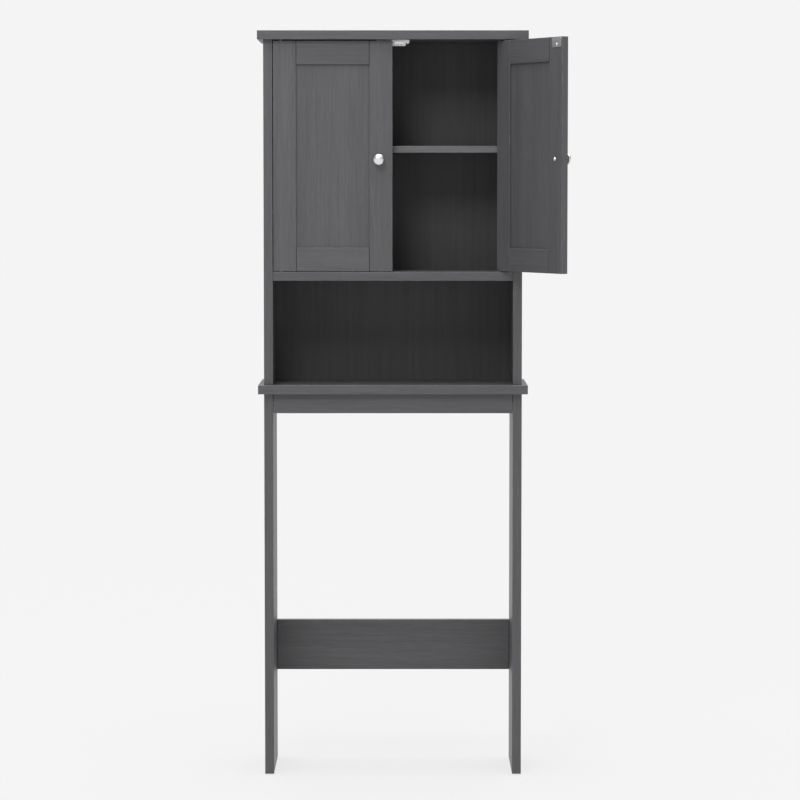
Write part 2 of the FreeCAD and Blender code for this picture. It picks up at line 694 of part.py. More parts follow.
catch_screw_master = new_body("catch_screw_master")
turned(catch_screw_master, "XZ_Plane", [
    ("0", "-catch_ear_height - 2"), ("2.2", "-catch_ear_height - 2"),
    ("3.4", "-catch_ear_height - 1"), ("3.4", "-catch_ear_height"),
    ("1.5", "-catch_ear_height"), ("1.5", "8"), ("0", "10"),
])
pocket(
    catch_screw_master,
    outline(catch_screw_master, "XY_Plane", cross(("0", "0"), 0.4, 1.6),
            ("0", "0", "-catch_ear_height - 2")),
    "1.2",
    with_normal=True,
)
catch_screws = []
for sign in (-1, 1):
    spot = (f"{sign} * {catch_screw_x}", catch_screw_y, TOP_UNDER)
    catch_screws.append(copy_of(catch_screw_master, f"catch_screw{sign}", spot, "+z"))
screw_group = doc.addObject("Part::Compound", "catch_screws_group")
screw_group.Links = catch_screws
as_node(screw_group, "catch_screws")


# ---- Doors ----
# Every piece of a door is drawn closed, about the door's pivot axis: the sketch's origin is on
# that axis at the door's lower edge. Then the whole door is turned to its angle.

HINGE_EDGE = "(pivot_inset - door_side_gap)"
FREE_EDGE = f"(-({DOOR_WIDTH} - pivot_inset + door_side_gap))"
FACE = "(-pivot_setback)"
INSIDE = "(door_thick - pivot_setback)"
TIP = f"({FACE} - knob_reach)"
PANEL_FACE = "(panel_recess - pivot_setback)"
PANEL_INSIDE = "(panel_recess + panel_thick - pivot_setback)"


def hang(body, side, sign):
    """Put a door's piece on its pivot, turned by the door's angle."""
    body.Placement = FreeCAD.Placement(
        FreeCAD.Vector(), FreeCAD.Rotation(DIRECTIONS["+z"], number(f"{side}_door_angle"))
    )
    for axis, formula in zip("xyz", (f"{sign} * {pivot_x}", pivot_y, DOOR_BOTTOM)):
        body.setExpression(f"Placement.Base.{axis}", in_sheet(formula))
    body.setExpression("Placement.Rotation.Angle", in_sheet(f"{sign} * {side}_door_angle"))


def stile(side, sign, name, edge, inward):
    """An upright of the frame, from its outer edge inward (1 or -1), grooved along its inner edge."""
    body = new_body(f"{side}_{name}_body")
    inner = f"({edge} + ({inward}) * stile_width)"
    groove = f"({edge} + ({inward}) * (stile_width - panel_groove))"
    points = [
        (edge, FACE), (inner, FACE), (inner, PANEL_FACE), (groove, PANEL_FACE),
        (groove, PANEL_INSIDE), (inner, PANEL_INSIDE), (inner, INSIDE), (edge, INSIDE),
    ]
    points = [(f"{sign} * {u}", w) for u, w in points]
    pad(body, outline(body, "XY_Plane", points), DOOR_HEIGHT)
    return body


def rail(side, sign, name, bottom, groove_bottom):
    """A cross rail of the frame, with a tongue at each end and a groove for the panel."""
    body = new_body(f"{side}_{name}_body")
    outer = f"({HINGE_EDGE} - stile_width)"
    inner = f"({FREE_EDGE} + stile_width)"
    outer_tip = f"({outer} + panel_groove)"
    inner_tip = f"({inner} - panel_groove)"
    points = [
        (outer, FACE), (inner, FACE), (inner, PANEL_FACE), (inner_tip, PANEL_FACE),
        (inner_tip, PANEL_INSIDE), (inner, PANEL_INSIDE), (inner, INSIDE), (outer, INSIDE),
        (outer, PANEL_INSIDE), (outer_tip, PANEL_INSIDE), (outer_tip, PANEL_FACE),
        (outer, PANEL_FACE),
    ]
    points = [(f"{sign} * {u}", w) for u, w in points]
    pad(body, outline(body, "XY_Plane", points, ("0", "0", bottom)), "stile_width")
    low, high = sorted(
        (f"{sign} * ({outer_tip} + 1)", f"{sign} * ({inner_tip} - 1)"), key=number
    )
    channel = [
        (low, PANEL_FACE), (high, PANEL_FACE), (high, PANEL_INSIDE), (low, PANEL_INSIDE),
    ]
    pocket(body, outline(body, "XY_Plane", channel, ("0", "0", groove_bottom)), "panel_groove",
           with_normal=True)
    return body


for side, sign, to_middle, to_outside in SIDES:
    hinge_stile = stile(side, sign, "hinge_stile", HINGE_EDGE, -1)
    for start, with_normal in (("0", True), (DOOR_HEIGHT, False)):
        hole = ring(hinge_stile, "XY_Plane", ("0", "0"), "pivot_radius + 0.05", ("0", "0", start))
        pocket(hinge_stile, hole, "pivot_hold", with_normal)

    # The meeting stile has the knob's screw hole right through, and the strike screw's pilot.
    meeting_stile = stile(side, sign, "meeting_stile", FREE_EDGE, 1)
    knob_x = f"({sign} * ({FREE_EDGE} + knob_edge))"
    knob_hole = ring(meeting_stile, "XZ_Plane", (knob_x, "knob_rise"), "knob_screw_radius + 0.3",
                     ("0", "0", "pivot_setback"))
    pocket(meeting_stile, knob_hole, "door_thick")
    strike_x = f"({sign} * ({FREE_EDGE} + strike_edge + strike_width / 2))"
    strike_z = f"({DOOR_HEIGHT} - strike_drop - strike_height)"
    screw_z = f"({strike_z} + strike_screw_rise)"
    pilot = ring(meeting_stile, "XZ_Plane", (strike_x, screw_z), "1.6", ("0", "0", f"-{INSIDE}"))
    pocket(meeting_stile, pilot, "12", with_normal=True)

    top_rail = rail(side, sign, "top_rail", f"({DOOR_HEIGHT} - stile_width)",
                    f"({DOOR_HEIGHT} - stile_width)")
    bottom_rail = rail(side, sign, "bottom_rail", "0", "(stile_width - panel_groove)")

    panel = new_body(f"{side}_door_panel_body")
    reach = "(panel_groove - panel_play)"
    near = f"({HINGE_EDGE} - stile_width + {reach})"
    far = f"({FREE_EDGE} + stile_width - {reach})"
    sheet_outline = [
        (near, f"({PANEL_FACE} + 0.1)"), (far, f"({PANEL_FACE} + 0.1)"),
        (far, f"({PANEL_INSIDE} - 0.1)"), (near, f"({PANEL_INSIDE} - 0.1)"),
    ]
    sheet_outline = [(f"{sign} * {u}", w) for u, w in sheet_outline]
    pad(
        panel,
        outline(panel, "XY_Plane", sheet_outline, ("0", "0", f"(stile_width - {reach})")),
        f"({DOOR_HEIGHT} - 2 * (stile_width - {reach}))",
    )

    # Steel pivot pins, one pressed into each end of the hinge stile.
    pivot_pins = []
    for end, start, outward in (("bottom", "0", -1), ("top", DOOR_HEIGHT, 1)):
        pin = new_body(f"{side}_{end}_pivot_pin_body")
        hold_end = f"({start} - ({outward}) * (pivot_hold - 0.5))"
        tip = f"({start} + ({outward}) * pivot_reach)"
        tip_edge = f"({start} + ({outward}) * (pivot_reach - 0.5))"
        turned(pin, "XZ_Plane", [
            ("0", hold_end), ("pivot_radius", hold_end), ("pivot_radius", tip_edge),
            ("pivot_radius - 0.5", tip), ("0", tip),
        ])
        pivot_pins.append((f"{end}_pivot_pin", pin))

    # Round metal knob: a slim neck and a domed head, tapped for its screw.
    knob = new_body(f"{side}_knob_body")
    turned(knob, "XY_Plane", [
        ("1.6", FACE), ("6.5", FACE), ("6.5", f"({FACE} - 1.5)"), ("4.5", f"({FACE} - 4)"),
        ("4.5", f"({TIP} + 15)"), ("6.5", f"({TIP} + 12)"), ("knob_radius - 2", f"({TIP} + 10)"),
        ("knob_radius - 0.4", f"({TIP} + 8.4)"), ("knob_radius", f"({TIP} + 6.6)"),
        ("knob_radius - 0.5", f"({TIP} + 4.6)"), ("knob_radius - 2", f"({TIP} + 2.8)"),
        ("knob_radius - 5", f"({TIP} + 1.2)"), ("knob_radius - 9", f"({TIP} + 0.3)"),
        ("0", TIP), ("0", f"({FACE} - 12)"), ("1.6", f"({FACE} - 12)"),
    ], (knob_x, "0", "knob_rise"))

    # Its M4 screw comes from inside the door, with a domed head on the inner face.
    knob_screw = new_body(f"{side}_knob_screw_body")
    turned(knob_screw, "XY_Plane", [
        ("0", f"({INSIDE} + 2)"), ("2", f"({INSIDE} + 1.9)"), ("3.4", f"({INSIDE} + 1.3)"),
        ("4.2", f"({INSIDE} + 0.3)"), ("4.2", INSIDE), ("knob_screw_radius", INSIDE),
        ("knob_screw_radius", f"({FACE} + 0.5)"), ("1.5", f"({FACE} + 0.1)"),
        ("1.5", f"({FACE} - 9)"), ("0", f"({FACE} - 10)"),
    ], (knob_x, "0", "knob_rise"))
    recess = cross((knob_x, "knob_rise"), 0.5, 2)
    pocket(knob_screw, outline(knob_screw, "XZ_Plane", recess, ("0", "0", f"(-{INSIDE} - 2)")),
           "1.4", with_normal=True)

    # Strike plate for the magnet, and its screw.
    strike = new_body(f"{side}_strike_plate_body")
    low = f"({strike_x} - strike_width / 2)"
    high = f"({strike_x} + strike_width / 2)"
    nip = "2"
    top = f"({strike_z} + strike_height)"
    corners = [
        (f"({low} + {nip})", strike_z), (f"({high} - {nip})", strike_z),
        (high, f"({strike_z} + {nip})"), (high, f"({top} - {nip})"),
        (f"({high} - {nip})", top), (f"({low} + {nip})", top),
        (low, f"({top} - {nip})"), (low, f"({strike_z} + {nip})"),
    ]
    pad(strike, outline(strike, "XZ_Plane", corners, ("0", "0", f"(-{INSIDE} - strike_thick)")),
        "strike_thick")
    strike_hole = ring(strike, "XZ_Plane", (strike_x, screw_z), "1.9", ("0", "0", f"-{INSIDE}"))
    pocket(strike, strike_hole, "strike_thick")

    strike_screw = new_body(f"{side}_strike_screw_body")
    head = f"({INSIDE} + strike_thick)"
    turned(strike_screw, "XY_Plane", [
        ("0", f"({head} + 1.5)"), ("1.6", f"({head} + 1.4)"), ("2.8", f"({head} + 0.9)"),
        ("3.3", f"({head} + 0.2)"), ("3.3", head), ("1.5", head),
        ("1.5", f"({INSIDE} - 9)"), ("0", f"({INSIDE} - 11)"),
    ], (strike_x, "0", screw_z))
    recess = cross((strike_x, screw_z), 0.4, 1.6)
    pocket(strike_screw,
           outline(strike_screw, "XZ_Plane", recess, ("0", "0", f"(-{head} - 1.5)")),
           "1.1", with_normal=True)

    pieces = [
        ("hinge_stile", hinge_stile), ("meeting_stile", meeting_stile), ("top_rail", top_rail),
        ("bottom_rail", bottom_rail), ("door_panel", panel), *pivot_pins, ("knob", knob),
        ("knob_screw", knob_screw), ("strike_plate", strike), ("strike_screw", strike_screw),
    ]
    for name, body in pieces:
        hang(body, side, sign)
        as_node(body, f"{side}_{name}")


# ---- Checks and export ----

doc.recompute()
for thing in doc.Objects:
    if "Invalid" in thing.State or "Error" in thing.State:
        raise RuntimeError(f"{thing.Name} failed: {thing.State}")
    if thing.TypeId == "PartDesign::Pocket":
        removed = thing.BaseFeature.Shape.Volume - thing.Shape.Volume
        if removed < 0.5:
            raise RuntimeError(f"{thing.Name} cuts nothing")
for thing in nodes:
    if thing.Shape.isNull() or not thing.Shape.isValid():
        raise RuntimeError(f"{thing.Label} has no valid shape")

os.makedirs("parts", exist_ok=True)
for thing in nodes:
    thing.Shape.exportStep(f"parts/{thing.Label}.step")
    size = thing.Shape.BoundBox
    print(
        f"{thing.Label}: {len(thing.Shape.Solids)} solid(s), "
        f"{size.XLength:.1f} x {size.YLength:.1f} x {size.ZLength:.1f} mm, "
        f"{thing.Shape.Volume / 1000:.1f} cm3"
    )
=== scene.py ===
import json
import math

import bmesh
import bpy
from mathutils import Matrix, Vector


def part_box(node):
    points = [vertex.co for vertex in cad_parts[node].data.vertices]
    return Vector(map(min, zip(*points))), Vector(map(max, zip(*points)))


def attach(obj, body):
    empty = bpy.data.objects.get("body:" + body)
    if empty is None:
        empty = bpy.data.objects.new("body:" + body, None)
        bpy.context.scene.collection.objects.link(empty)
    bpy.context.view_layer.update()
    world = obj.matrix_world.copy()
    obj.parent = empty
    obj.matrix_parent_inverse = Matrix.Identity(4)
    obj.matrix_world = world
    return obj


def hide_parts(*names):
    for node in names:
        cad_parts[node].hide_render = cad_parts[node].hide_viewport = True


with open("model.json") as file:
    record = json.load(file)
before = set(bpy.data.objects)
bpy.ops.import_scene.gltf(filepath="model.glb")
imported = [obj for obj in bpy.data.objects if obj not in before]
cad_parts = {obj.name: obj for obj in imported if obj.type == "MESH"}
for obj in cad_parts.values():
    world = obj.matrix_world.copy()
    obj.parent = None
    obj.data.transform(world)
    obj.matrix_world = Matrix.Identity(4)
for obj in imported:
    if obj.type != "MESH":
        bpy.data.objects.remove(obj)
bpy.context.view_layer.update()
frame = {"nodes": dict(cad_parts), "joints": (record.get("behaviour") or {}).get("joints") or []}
MM = 0.001


# ---- Room ----
# A pale matt studio floor under an even pale surround, so the cabinet stands clear of both.
# The floor is a sheet that runs past the far distance and meets the surround in one tone.

def linear(hex_colour):
    """An sRGB hex colour as linear red, green, blue and alpha."""
    parts = [int(hex_colour[i:i + 2], 16) / 255 for i in (1, 3, 5)]
    return (*[p / 12.92 if p <= 0.04045 else ((p + 0.055) / 1.055) ** 2.4 for p in parts], 1)


def add(tree, kind, inputs=None, **settings):
    """Adds a shader node. Settings are its properties; each input takes a value or a socket."""
    made = tree.nodes.new("ShaderNode" + kind)
    for name, value in settings.items():
        setattr(made, name, value)
    for socket, value in (inputs or {}).items():
        if isinstance(value, bpy.types.NodeSocket):
            tree.links.new(value, made.inputs[socket])
        else:
            made.inputs[socket].default_value = value
    return made


def new_material(name):
    """A material of one principled shader, with its node tree and that shader."""
    made = bpy.data.materials.new(name)
    made.use_nodes = True
    return made, made.node_tree, made.node_tree.nodes["Principled BSDF"]


def piece_from(shape, name, material, body=None, origin=Matrix.Identity(4)):
    """Makes a piece of a bmesh drawn in its own frame, set at origin, and lets it ride a body."""
    mesh = bpy.data.meshes.new(name)
    shape.to_mesh(mesh)
    shape.free()
    mesh.materials.append(material)
    piece = bpy.data.objects.new(name, mesh)
    bpy.context.scene.collection.objects.link(piece)
    piece.matrix_world = origin
    if body:
        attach(piece, body)
    return piece


# A lit opal sheet: most of its light comes through it, so shadows on it are faint.
FLOOR_HALF = 60.0
opal, tree, shader = new_material("lit_opal_sheet")
at = add(tree, "TexCoord").outputs["Object"]
speckle = add(tree, "TexNoise", {"Vector": at, "Scale": 1 / (3 * MM), "Detail": 2})
tone = add(tree, "Mix", {0: speckle.outputs["Fac"], 6: linear("#4F4F4F"), 7: linear("#515151")},
           data_type="RGBA")
tree.links.new(tone.outputs[2], shader.inputs["Base Color"])
shader.inputs["Roughness"].default_value = 0.9
shader.inputs["Specular IOR Level"].default_value = 0.0
shader.inputs["Emission Color"].default_value = (1, 1, 1, 1)
shader.inputs["Emission Strength"].default_value = 0.739
shape = bmesh.new()
bmesh.ops.create_grid(shape, x_segments=24, y_segments=24, size=FLOOR_HALF)
floor = piece_from(shape, "studio_floor", opal)

# The surround: a pale wall, dimmer above the horizon except straight behind the cabinet, under a
# bright ceiling.
world = bpy.data.worlds.new("studio_surround")
bpy.context.scene.world = world
world.use_nodes = True
tree = world.node_tree
surround = tree.nodes["Background"]
towards = add(tree, "SeparateXYZ", {0: add(tree, "TexCoord").outputs["Generated"]})
height = towards.outputs["Z"]
behind = add(tree, "MapRange", {"Value": towards.outputs["Y"], "From Min": 0.6, "From Max": 0.95,
                                "To Min": 1.0, "To Max": 0.0}, interpolation_type="SMOOTHSTEP")
wall = add(tree, "MapRange", {"Value": height, "From Min": 0.09, "From Max": 0.25,
                              "To Max": behind.outputs["Result"]},
           interpolation_type="SMOOTHSTEP")
ceiling = add(tree, "MapRange", {"Value": height, "From Min": 0.7, "From Max": 0.95},
              interpolation_type="SMOOTHSTEP")
glow = add(tree, "Mix", {0: wall.outputs["Result"], 6: linear("#F4F4F4"), 7: linear("#A2A2A4")},
           data_type="RGBA")
CEILING = 5.6    # times the light of a white wall
glow = add(tree, "Mix", {0: ceiling.outputs["Result"], 6: glow.outputs[2],
                         7: (CEILING, CEILING, CEILING, 1)}, data_type="RGBA")
tree.links.new(glow.outputs[2], surround.inputs["Color"])
bpy.context.scene.view_settings.view_transform = "Standard"

# One soft key of 43 W, a metre square, high in front and a little to the left. It is near enough
# to fall off towards the feet.
key = bpy.data.objects.new("key_light", bpy.data.lights.new("key_light", "AREA"))
key.data.energy, key.data.size = 43, 1.0
bpy.context.scene.collection.objects.link(key)
key.location = (-0.7, -2.6, 3.3)
key.rotation_mode = "QUATERNION"
key.rotation_quaternion = (key.location - Vector((0, 0, 1.1))).to_track_quat("Z", "Y")

# A long lens at chest height, seven metres off, tipped a little down.
TIPPED_DOWN = math.radians(4.014)
camera = bpy.data.objects.new("camera", bpy.data.cameras.new("camera"))
bpy.context.scene.collection.objects.link(camera)
camera.location = (0.0157, -7.11, 1.335)
camera.rotation_euler = (math.radians(90) - TIPPED_DOWN, 0, 0)
camera.data.sensor_width, camera.data.lens = 36, 141.82
camera.data.clip_end = 200
bpy.context.scene.camera = camera


# ---- Boards of the cabinet ----
# MDF boards 20 mm thick (15 the shelf, 18 the apron and rails), wrapped in a charcoal foil that
# is printed and pressed with a fine straight grain. Every long edge is eased by about 1 mm.

EASED = 0.9 * MM
STREAK = 4 * MM       # width of a printed grain streak
STREAK_LENGTH = 190 * MM
PORE = 1.6 * MM       # real pores are 0.3 mm wide, drawn coarser so that they show
PORE_LENGTH = 30 * MM
BAND = 42 * MM        # slow change of tone across the board
BAND_LENGTH = 1.1
SWAY = 9 * MM         # how far the grain wanders sideways, about nine times in a metre
SWAYS_PER_METRE = 9.0
GRAIN_LOW, GRAIN_HIGH = 0.42, 0.75    # where the mixed grain is darkest and lightest


def grained_foil(name, along, dark="#414143", light="#535355"):
    """Charcoal foil with its grain along an axis of the piece: soft streaks, fine pores and slow
    bands, and a painted highlight on its eased edges. The pores are pressed in, so they are the
    relief as well."""
    foil, tree, shader = new_material(name)
    at = add(tree, "TexCoord").outputs["Object"]
    sway = add(tree, "TexNoise", {"Vector": at, "Scale": SWAYS_PER_METRE, "Detail": 1})
    bend = add(tree, "VectorMath", {0: sway.outputs["Color"], 1: (0.5, 0.5, 0.5)},
               operation="SUBTRACT")
    bent = add(tree, "VectorMath", {0: bend.outputs[0], 1: (SWAY, SWAY, SWAY), 2: at},
               operation="MULTIPLY_ADD").outputs[0]

    def stretched(width, length):
        scale = [1 / width] * 3
        scale[along] = 1 / length
        return add(tree, "Mapping", {"Vector": bent, "Scale": scale}).outputs[0]

    streaks = add(tree, "TexNoise", {"Vector": stretched(STREAK, STREAK_LENGTH), "Scale": 1.0,
                                     "Detail": 4, "Roughness": 0.6}).outputs["Fac"]
    pores = add(tree, "TexNoise", {"Vector": stretched(PORE, PORE_LENGTH), "Scale": 1.0,
                                   "Detail": 2}).outputs["Fac"]
    bands = add(tree, "TexNoise", {"Vector": stretched(BAND, BAND_LENGTH), "Scale": 1.0,
                                   "Detail": 1}).outputs["Fac"]
    mixed = add(tree, "Math", {0: streaks, 1: 0.5, 2: 0.06}, operation="MULTIPLY_ADD").outputs[0]
    mixed = add(tree, "Math", {0: pores, 1: 0.28, 2: mixed}, operation="MULTIPLY_ADD").outputs[0]
    mixed = add(tree, "Math", {0: bands, 1: 0.3, 2: mixed}, operation="MULTIPLY_ADD").outputs[0]
    grain = add(tree, "MapRange", {"Value": mixed, "From Min": GRAIN_LOW,
                                   "From Max": GRAIN_HIGH}).outputs[0]
    tone = add(tree, "Mix", {0: grain, 6: linear(dark), 7: linear(light)}, data_type="RGBA")
    # Eased edges get a painted highlight, a little paler, in patches 20 mm long.
    edge_highlight_noise = add(tree, "TexNoise", {"Vector": at, "Scale": 1 / (20 * MM), "Detail": 3})
    patch = add(tree, "MapRange", {"Value": edge_highlight_noise.outputs["Fac"], "From Min": 0.42,
                                   "From Max": 0.7, "To Max": 0.5}).outputs[0]
    edge = add(tree, "Attribute", attribute_name="eased_edge").outputs["Fac"]
    painted_edge_highlight = add(tree, "Math", {0: edge, 1: patch}, operation="MULTIPLY").outputs[0]
    # The pale colour here is a painted highlight on the eased edges.
    colour = add(tree, "Mix", {0: painted_edge_highlight, 6: tone.outputs[2], 7: linear("#77777A")},
                 data_type="RGBA")
    tree.links.new(colour.outputs[2], shader.inputs["Base Color"])
    rough = add(tree, "MapRange", {"Value": mixed, "From Min": GRAIN_LOW, "From Max": GRAIN_HIGH,
                                   "To Min": 0.5, "To Max": 0.4}).outputs[0]
    tree.links.new(rough, shader.inputs["Roughness"])
    relief = add(tree, "Bump", {"Strength": 0.35, "Distance": 0.06 * MM, "Height": pores})
    tree.links.new(relief.outputs[0], shader.inputs["Normal"])
    shader.inputs["IOR"].default_value = 1.5
    return foil


ALONG_X, ALONG_Z = 0, 2
level_foil = grained_foil("charcoal_foil_level_grain", ALONG_X)
upright_foil = grained_foil("charcoal_foil_upright_grain", ALONG_Z)
# A paler copy of the foil: painted light for the brighter front edge of the shelf.
shelf_foil_painted_light = grained_foil("charcoal_foil_shelf_painted_light", ALONG_X, dark="#4E4E50", light="#606062")
SHEET_STEP = Vector((0.37, 0.61, 1.13))    # from one board's place on the sheet to the next one's
boards_cut = 0


def cad_shape(node, swing=Matrix.Identity(4)):
    """A CAD node's shape as a bmesh, turned back by swing, with its split corners joined."""
    shape = bmesh.new()
    shape.from_mesh(frame["nodes"][node].data)
    shape.transform(swing.inverted() @ frame["nodes"][node].matrix_world)
    bmesh.ops.remove_doubles(shape, verts=shape.verts, dist=1e-6)
    return shape


def settle(piece):
    """Turns a piece's modifiers into its mesh."""
    bpy.context.view_layer.update()
    shaped = bpy.data.meshes.new_from_object(
        piece.evaluated_get(bpy.context.evaluated_depsgraph_get()))
    piece.modifiers.clear()
    piece.data = shaped


def carve(piece, tool, operation):
    """Cuts a piece with a tool piece, which is used up."""
    cut = piece.modifiers.new("cut", "BOOLEAN")
    cut.operation, cut.solver, cut.object = operation, "EXACT", tool
    settle(piece)
    bpy.data.objects.remove(tool)


def smooth_but_flat(piece, sharp=35):
    """Rounds the shading of eased edges and bores. Faces square to the piece stay flat."""
    piece.data.set_sharp_from_angle(angle=math.radians(sharp))
    for face in piece.data.polygons:    # after the line above, which makes every face smooth
        face.use_smooth = max(abs(c) for c in face.normal) < 0.9999


def eased_board(node, body, material, eased=EASED, low_gap=0.0,
                high_gap=0.0, turn=0.0, about=Vector((0, 0, 0))):
    """The CAD board with its twelve outer edges eased: a rounded blank, cut to the CAD shape with
    every hole and groove. low_gap and high_gap leave a fine joint at its ends along X. A board of
    an open door is drawn as if closed, turn back about its pivot. Each board is sawn from another
    place of the sheet, so no grain runs across a joint."""
    global boards_cut
    boards_cut += 1
    swing = Matrix.Translation(about) @ Matrix.Rotation(turn, 4, "Z") @ Matrix.Translation(-about)
    cad = cad_shape(node, swing)
    low = Vector([min(v.co[i] for v in cad.verts) for i in range(3)])
    high = Vector([max(v.co[i] for v in cad.verts) for i in range(3)])
    sheet_place = (low + high) / 2 - SHEET_STEP * boards_cut
    cad.transform(Matrix.Translation(-sheet_place))
    low = low - sheet_place + Vector((low_gap, 0, 0))
    high = high - sheet_place - Vector((high_gap, 0, 0))
    blank = bmesh.new()
    bmesh.ops.create_cube(blank, size=1.0)
    for vertex in blank.verts:
        vertex.co = [low[i] if vertex.co[i] < 0 else high[i] for i in range(3)]
    bmesh.ops.bevel(blank, geom=blank.edges, offset=eased, segments=3, affect="EDGES",
                    profile=0.5)
    piece = piece_from(blank, "eased_" + node, material)
    carve(piece, piece_from(cad, node + "_tool", material), "INTERSECT")
    # Faces on the easing carry the edge mark that the foil's painted highlight reads.
    mesh = piece.data
    mark = mesh.attributes.new("eased_edge", "FLOAT", "FACE")
    for face in mesh.polygons:
        spots = [mesh.vertices[v].co for v in face.vertices]
        near = [all(min(c[i] - low[i], high[i] - c[i]) < eased * 1.01 for c in spots)
                for i in range(3)]
        slanted = max(abs(c) for c in face.normal) < 0.999
        mark.data[face.index].value = 1.0 if slanted and sum(near) >= 2 else 0.0
    smooth_but_flat(piece)
    piece.matrix_world = swing @ Matrix.Translation(sheet_place)
    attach(piece, body)
    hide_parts(node)


# Top board and ledge: the same board, overhanging sides and front by 13 mm.
for node in ("top_board", "ledge_board"):
    eased_board(node, "cabinet", level_foil)

# Uprights: side panels of the upper cabinet and the leg panels in line under them.
for node in ("left_side_panel", "right_side_panel", "left_leg_panel", "right_leg_panel"):
    eased_board(node, "cabinet", upright_foil)

# Level boards between the uprights, held by cam bolts and dowels.
for node, gap in (("cabinet_floor", 0.6), ("front_apron", 1.0), ("wall_rail", 1.0),
                  ("rear_stretcher", 0.5)):
    eased_board(node, "cabinet", level_foil, low_gap=gap * MM, high_gap=gap * MM)

# The shelf lies loose on its pins. Its foil is painted a little paler than the rest, as painted
# light for the brighter front edge of the shelf.
eased_board("adjustable_shelf", "cabinet", shelf_foil_painted_light)


# ---- Back ----
# Hardboard 3 mm thick, painted on its face and slid into grooves of sides, top and ledge.
# The paint is duller than the foil, and darker: partly its own tone, partly painted shade for the
# dim inside of the cabinet. It has a fine fibre dapple, and faint upright streaks from the
# roller.

FIBRE = 4 * MM        # single fibres are 0.1 mm wide, drawn coarser so that they show
ROLLED, ROLLED_LENGTH = 9 * MM, 250 * MM    # a streak of the roller

hardboard, tree, shader = new_material("painted_hardboard")
at = add(tree, "TexCoord").outputs["Object"]
fibre = add(tree, "TexNoise", {"Vector": at, "Scale": 1 / FIBRE, "Detail": 5,
                               "Roughness": 0.7}).outputs["Fac"]
rolled = add(tree, "Mapping", {"Vector": at,
                               "Scale": (1 / ROLLED, 1 / ROLLED, 1 / ROLLED_LENGTH)})
streak = add(tree, "TexNoise", {"Vector": rolled.outputs[0], "Scale": 1.0, "Detail": 3})
mixed = add(tree, "Math", {0: fibre, 1: 0.4, 2: streak.outputs["Fac"]},
            operation="MULTIPLY_ADD").outputs[0]
level = add(tree, "MapRange", {"Value": mixed, "From Min": 0.5, "From Max": 0.9}).outputs[0]
# Darker than the foil: partly the paint's own tone, partly painted shade for the dim inside of
# the cabinet.
tone = add(tree, "Mix", {0: level, 6: linear("#3A3A3C"), 7: linear("#424244")}, data_type="RGBA")
tree.links.new(tone.outputs[2], shader.inputs["Base Color"])
rough = add(tree, "MapRange", {"Value": fibre, "To Min": 0.6, "To Max": 0.75}).outputs[0]
tree.links.new(rough, shader.inputs["Roughness"])
relief = add(tree, "Bump", {"Strength": 0.4, "Distance": 0.08 * MM, "Height": fibre})
tree.links.new(relief.outputs[0], shader.inputs["Normal"])
eased_board("back_panel", "cabinet", hardboard, eased=0.3 * MM)


# ---- Doors ----
# Shaker frames of 15 mm board: two stiles with the rails between them, and a thin panel held in
# their grooves. Eased edges leave a fine dark line at every joint of the frame.

pivots = {}
for joint in frame["joints"]:
    pivots[joint["name"].split("_")[0]] = Vector(joint["pos_m"])
OPEN_ANGLE = {"left": 0.0, "right": math.radians(120)}
JOINT_GAP = 1.2 * MM       # between a stile and the ends of the rails
for side in ("left", "right"):
    for part, foil in (
        ("hinge_stile", upright_foil), ("meeting_stile", upright_foil),
        ("top_rail", level_foil), ("bottom_rail", level_foil), ("door_panel", upright_foil),
    ):
        # A stile's inner edge is on its high side if it is the door's left stile from the front.
        left_stile = (side, part) in (("left", "hinge_stile"), ("right", "meeting_stile"))
        right_stile = (side, part) in (("left", "meeting_stile"), ("right", "hinge_stile"))
        eased_board(f"{side}_{part}", f"{side}_door", foil, eased=0.7 * MM,
                    low_gap=JOINT_GAP if right_stile else 0.0,
                    high_gap=JOINT_GAP if left_stile else 0.0,
                    turn=OPEN_ANGLE[side], about=pivots[side])


# ---- Knobs ----
# Zinc die casting with a bright satin nickel plate, 25 mm across: a flared foot, a slim neck and
# a domed head. Each is turned round its own axis in one smooth skin, screwed from inside.

def metal(name, dark, light, patch, detail, glossiest, roughest, strength, depth, lumpy=0.5,
          fine=None):
    """Metal whose tone and sheen change from patch to patch. Its relief, depth deep, follows the
    patches, or a noise of its own with a size and detail given by fine."""
    made, tree, shader = new_material(name)
    at = add(tree, "TexCoord").outputs["Object"]
    patches = add(tree, "TexNoise", {"Vector": at, "Scale": 1 / patch, "Detail": detail,
                                     "Roughness": lumpy}).outputs["Fac"]
    tone = add(tree, "Mix", {0: patches, 6: linear(dark), 7: linear(light)}, data_type="RGBA")
    tree.links.new(tone.outputs[2], shader.inputs["Base Color"])
    rough = add(tree, "MapRange", {"Value": patches, "To Min": glossiest,
                                   "To Max": roughest}).outputs[0]
    tree.links.new(rough, shader.inputs["Roughness"])
    height = patches
    if fine:
        height = add(tree, "TexNoise", {"Vector": at, "Scale": 1 / fine[0],
                                        "Detail": fine[1]}).outputs["Fac"]
    relief = add(tree, "Bump", {"Strength": strength, "Distance": depth, "Height": height})
    tree.links.new(relief.outputs[0], shader.inputs["Normal"])
    shader.inputs["Metallic"].default_value = 1.0
    return made


# The haze of a satin plate is too fine to show, so its relief is drawn 0.5 mm coarse.
nickel = metal("satin_nickel_plate", "#E2E0DD", "#F0EEEC", 6 * MM, 3, 0.24, 0.4, 0.1, 0.01 * MM,
               fine=(0.5 * MM, 2))

